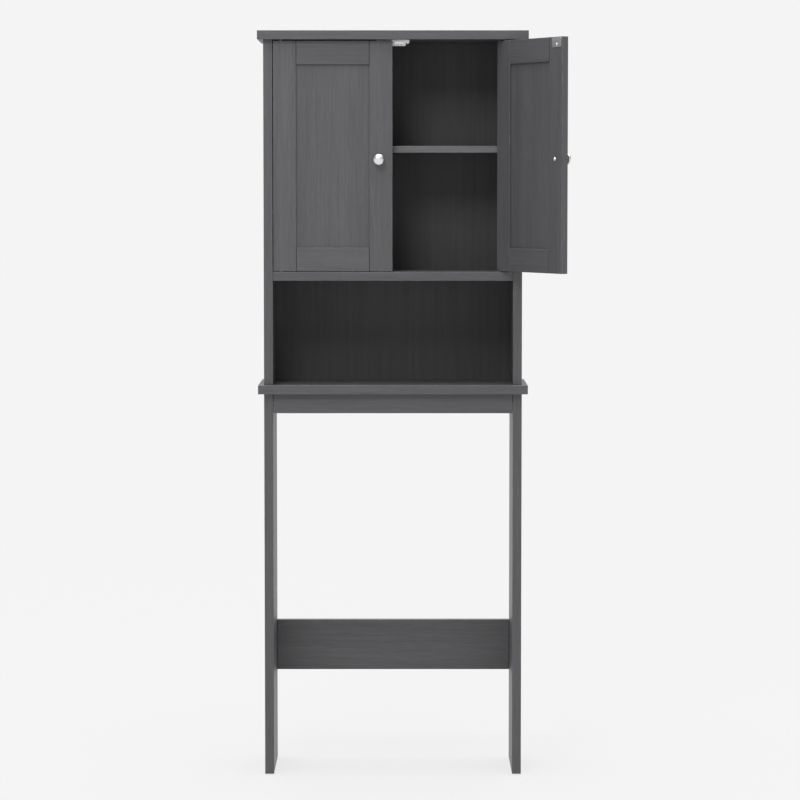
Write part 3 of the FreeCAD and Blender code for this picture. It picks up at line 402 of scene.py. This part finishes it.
# Radius and distance out from the door's face, in millimetres: the tapped hole, then the foot
# and on to the crown.
KNOB = [(0, 12), (1.6, 12), (1.6, 0), (6.3, 0), (6.5, 0.2), (6.5, 1.2), (6.3, 1.6), (5.4, 2.7),
        (4.7, 4.2), (4.5, 6), (4.5, 8), (4.9, 9.8), (5.9, 11.6), (7.8, 13.1), (10, 14.2),
        (11.6, 15.4), (12.35, 16.6), (12.5, 17.6), (12.3, 18.8), (11.6, 20), (10.3, 21.3),
        (8.4, 22.4), (6, 23.3), (3.2, 23.85), (1, 24), (0, 24)]
KNOB_REACH = 217.5 * MM    # from the pivot to the knob's axis
FACE = 5 * MM              # from the pivot to the door's front face
for side, hand in (("left", 1), ("right", -1)):
    shape = bmesh.new()
    line = [shape.verts.new((r * MM, 0, out * MM)) for r, out in KNOB]
    edges = [shape.edges.new(pair) for pair in zip(line, line[1:])]
    bmesh.ops.spin(shape, geom=line + edges, cent=(0, 0, 0), axis=(0, 0, 1),
                   angle=math.tau, steps=64)
    bmesh.ops.remove_doubles(shape, verts=shape.verts, dist=1e-6)
    bmesh.ops.recalc_face_normals(shape, faces=shape.faces)
    for face in shape.faces:
        face.smooth = True
    foot = Vector((hand * KNOB_REACH, -FACE, 0))
    low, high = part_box(f"{side}_knob")
    pivot = Vector((pivots[side].x, pivots[side].y, (low.z + high.z) / 2))
    swing = Matrix.Rotation(OPEN_ANGLE[side], 4, "Z")
    shape.transform(swing @ Matrix.Rotation(math.radians(90), 4, "X"))
    knob = piece_from(shape, f"{side}_door_knob", nickel, f"{side}_door",
                      Matrix.Translation(pivot + swing @ foot))
    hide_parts(f"{side}_knob")


# ---- Screws, pins and strike plates ----
# Zinc-plated steel: bright, slightly blue, with the mottle of the plating bath. The strike plates
# are stamped from sheet, and each is held by one screw. The plate's crystals are drawn 0.6 mm
# coarse so that they show.

zinc_plate = metal("zinc_plated_steel", "#A9ACAE", "#C9CBCC", 5 * MM, 4, 0.28, 0.48, 0.2,
                   0.02 * MM, lumpy=0.65, fine=(0.6 * MM, 3))
STEEL_NODES = ["shelf_pins", "cam_bolts", "catch_pole_plates"]
for side in ("left", "right"):
    STEEL_NODES += [f"{side}_bottom_pivot_pin", f"{side}_top_pivot_pin"]
    eased_board(f"{side}_strike_plate", f"{side}_door", zinc_plate,
                eased=0.25 * MM, turn=OPEN_ANGLE[side], about=pivots[side])
for node in STEEL_NODES:
    frame["nodes"][node].material_slots[0].material = zinc_plate

# Screw heads are pressed and barrel polished before they're plated, so they shine more.
bright_zinc = metal("bright_zinc_screw", "#D2D4D5", "#E6E7E7", 2 * MM, 3, 0.3, 0.42, 0.15,
                    0.02 * MM)
for node in ("left_knob_screw", "right_knob_screw", "left_strike_screw", "right_strike_screw",
             "catch_screws"):
    frame["nodes"][node].material_slots[0].material = bright_zinc


# ---- Cam locks ----
# Zinc die castings 15 mm across, sunk flush in the hidden faces: a flat face with a cross slot
# to turn it, and the dull grey skin of a bare casting, drawn 1.5 mm coarse.

cast_zinc = metal("bare_zinc_casting", "#85868A", "#A3A4A7", 1.5 * MM, 4, 0.42, 0.6, 0.3,
                  0.05 * MM)

SLOT_LENGTH, SLOT_WIDTH, SLOT_DEPTH = 8 * MM, 1.5 * MM, 2.2 * MM
shape = cad_shape("cam_locks")
shape.verts.index_update()
seen = [False] * len(shape.verts)
slots = [bmesh.new(), bmesh.new()]    # the two arms of the crosses, cut one after the other
for first in shape.verts:
    if seen[first.index]:
        continue
    # One lock at a time: every vertex that edges join to this one.
    seen[first.index] = True
    lock, reach = [], [first]
    while reach:
        vertex = reach.pop()
        lock.append(vertex.co)
        for edge in vertex.link_edges:
            other = edge.other_vert(vertex)
            if not seen[other.index]:
                seen[other.index] = True
                reach.append(other)
    low = Vector([min(c[i] for c in lock) for i in range(3)])
    high = Vector([max(c[i] for c in lock) for i in range(3)])
    size = high - low
    axis = min(range(3), key=lambda i: size[i])
    # The face with the slot looks inwards from an upright, down from the floor and to the rear.
    on_low_side = {0: low.x > 0, 1: False, 2: True}[axis]
    seat = (low + high) / 2
    seat[axis] = low[axis] if on_low_side else high[axis]
    across, along = [i for i in range(3) if i != axis]
    for number, (long_way, short_way) in enumerate(((across, along), (along, across))):
        arm = [0.0, 0.0, 0.0]
        arm[long_way], arm[short_way] = SLOT_LENGTH, SLOT_WIDTH
        # The second arm is a hair deeper, so that no two faces fall in one plane.
        arm[axis] = 2 * SLOT_DEPTH * (1 + 0.02 * number)
        bmesh.ops.create_cube(slots[number], size=1.0, matrix=Matrix.Translation(seat)
                              @ Matrix.Diagonal((*arm, 1)))
locks = piece_from(shape, "cam_lock_castings", cast_zinc)
for arms in slots:
    carve(locks, piece_from(arms, "cam_slot_tool", cast_zinc), "DIFFERENCE")
smooth_but_flat(locks)
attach(locks, "cabinet")
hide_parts("cam_locks")


# ---- Dowels ----
# Beech pegs, 8 mm, glued in one board and pushed into the next. They're hidden once the cabinet
# stands; pale pinkish brown with fine dark flecks.

beech, tree, shader = new_material("beech")
at = add(tree, "TexCoord").outputs["Object"]
fleck = add(tree, "TexNoise", {"Vector": at, "Scale": 1 / (1.2 * MM), "Detail": 3}).outputs["Fac"]
tone = add(tree, "Mix", {0: fleck, 6: linear("#B98A5E"), 7: linear("#DDB78C")}, data_type="RGBA")
tree.links.new(tone.outputs[2], shader.inputs["Base Color"])
rough = add(tree, "MapRange", {"Value": fleck, "To Min": 0.55, "To Max": 0.7}).outputs[0]
tree.links.new(rough, shader.inputs["Roughness"])
relief = add(tree, "Bump", {"Strength": 0.3, "Distance": 0.05 * MM, "Height": fleck})
tree.links.new(relief.outputs[0], shader.inputs["Normal"])
frame["nodes"]["wood_dowels"].material_slots[0].material = beech


# ---- Foot glides and pivot bushes ----
# Glides are black polyethylene discs nailed under the legs; bushes are dark nylon sleeves that
# the pins turn in. Both are moulded, with a soft waxy sheen and a fine spark-eroded texture.

def moulded(name, dark, light, roughest):
    """Moulded plastic: an even colour with a fine spark texture. Real sparks leave pits of about
    0.1 mm, drawn as 0.8 mm so that they show."""
    plastic, tree, shader = new_material(name)
    at = add(tree, "TexCoord").outputs["Object"]
    spark = add(tree, "TexNoise", {"Vector": at, "Scale": 1 / (0.8 * MM), "Detail": 3})
    shade = add(tree, "TexNoise", {"Vector": at, "Scale": 1 / (12 * MM), "Detail": 2})
    tone = add(tree, "Mix", {0: shade.outputs["Fac"], 6: linear(dark), 7: linear(light)},
               data_type="RGBA")
    tree.links.new(tone.outputs[2], shader.inputs["Base Color"])
    rough = add(tree, "MapRange", {"Value": spark.outputs["Fac"], "To Min": roughest - 0.15,
                                   "To Max": roughest}).outputs[0]
    tree.links.new(rough, shader.inputs["Roughness"])
    relief = add(tree, "Bump", {"Strength": 0.25, "Distance": 0.03 * MM,
                                "Height": spark.outputs["Fac"]})
    tree.links.new(relief.outputs[0], shader.inputs["Normal"])
    shader.inputs["IOR"].default_value = 1.5
    return plastic


frame["nodes"]["foot_glides"].material_slots[0].material = moulded(
    "black_polyethylene", "#1E1E20", "#262628", 0.55)
frame["nodes"]["pivot_bushes"].material_slots[0].material = moulded(
    "dark_grey_nylon", "#2B2B2D", "#343436", 0.5)


# ---- Magnetic catch ----
# A double catch in white ABS, screwed up under the top board by an ear at each end. A nickel
# plated magnet sits in each window between two steel pole plates.

white_abs = moulded("white_abs", "#F2F2F1", "#FAFAF9", 0.45)
catch = piece_from(cad_shape("catch_housing"), "catch_body", white_abs)
soften = bmesh.new()
soften.from_mesh(catch.data)
bmesh.ops.dissolve_limit(soften, angle_limit=math.radians(1), verts=soften.verts,
                         edges=soften.edges)
soften.to_mesh(catch.data)
soften.free()
rim = catch.modifiers.new("moulded_radius", "BEVEL")
rim.width, rim.segments, rim.limit_method = 0.35 * MM, 2, "ANGLE"
rim.angle_limit = math.radians(50)
settle(catch)
smooth_but_flat(catch)
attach(catch, "cabinet")
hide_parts("catch_housing")
frame["nodes"]["catch_magnets"].material_slots[0].material = nickel
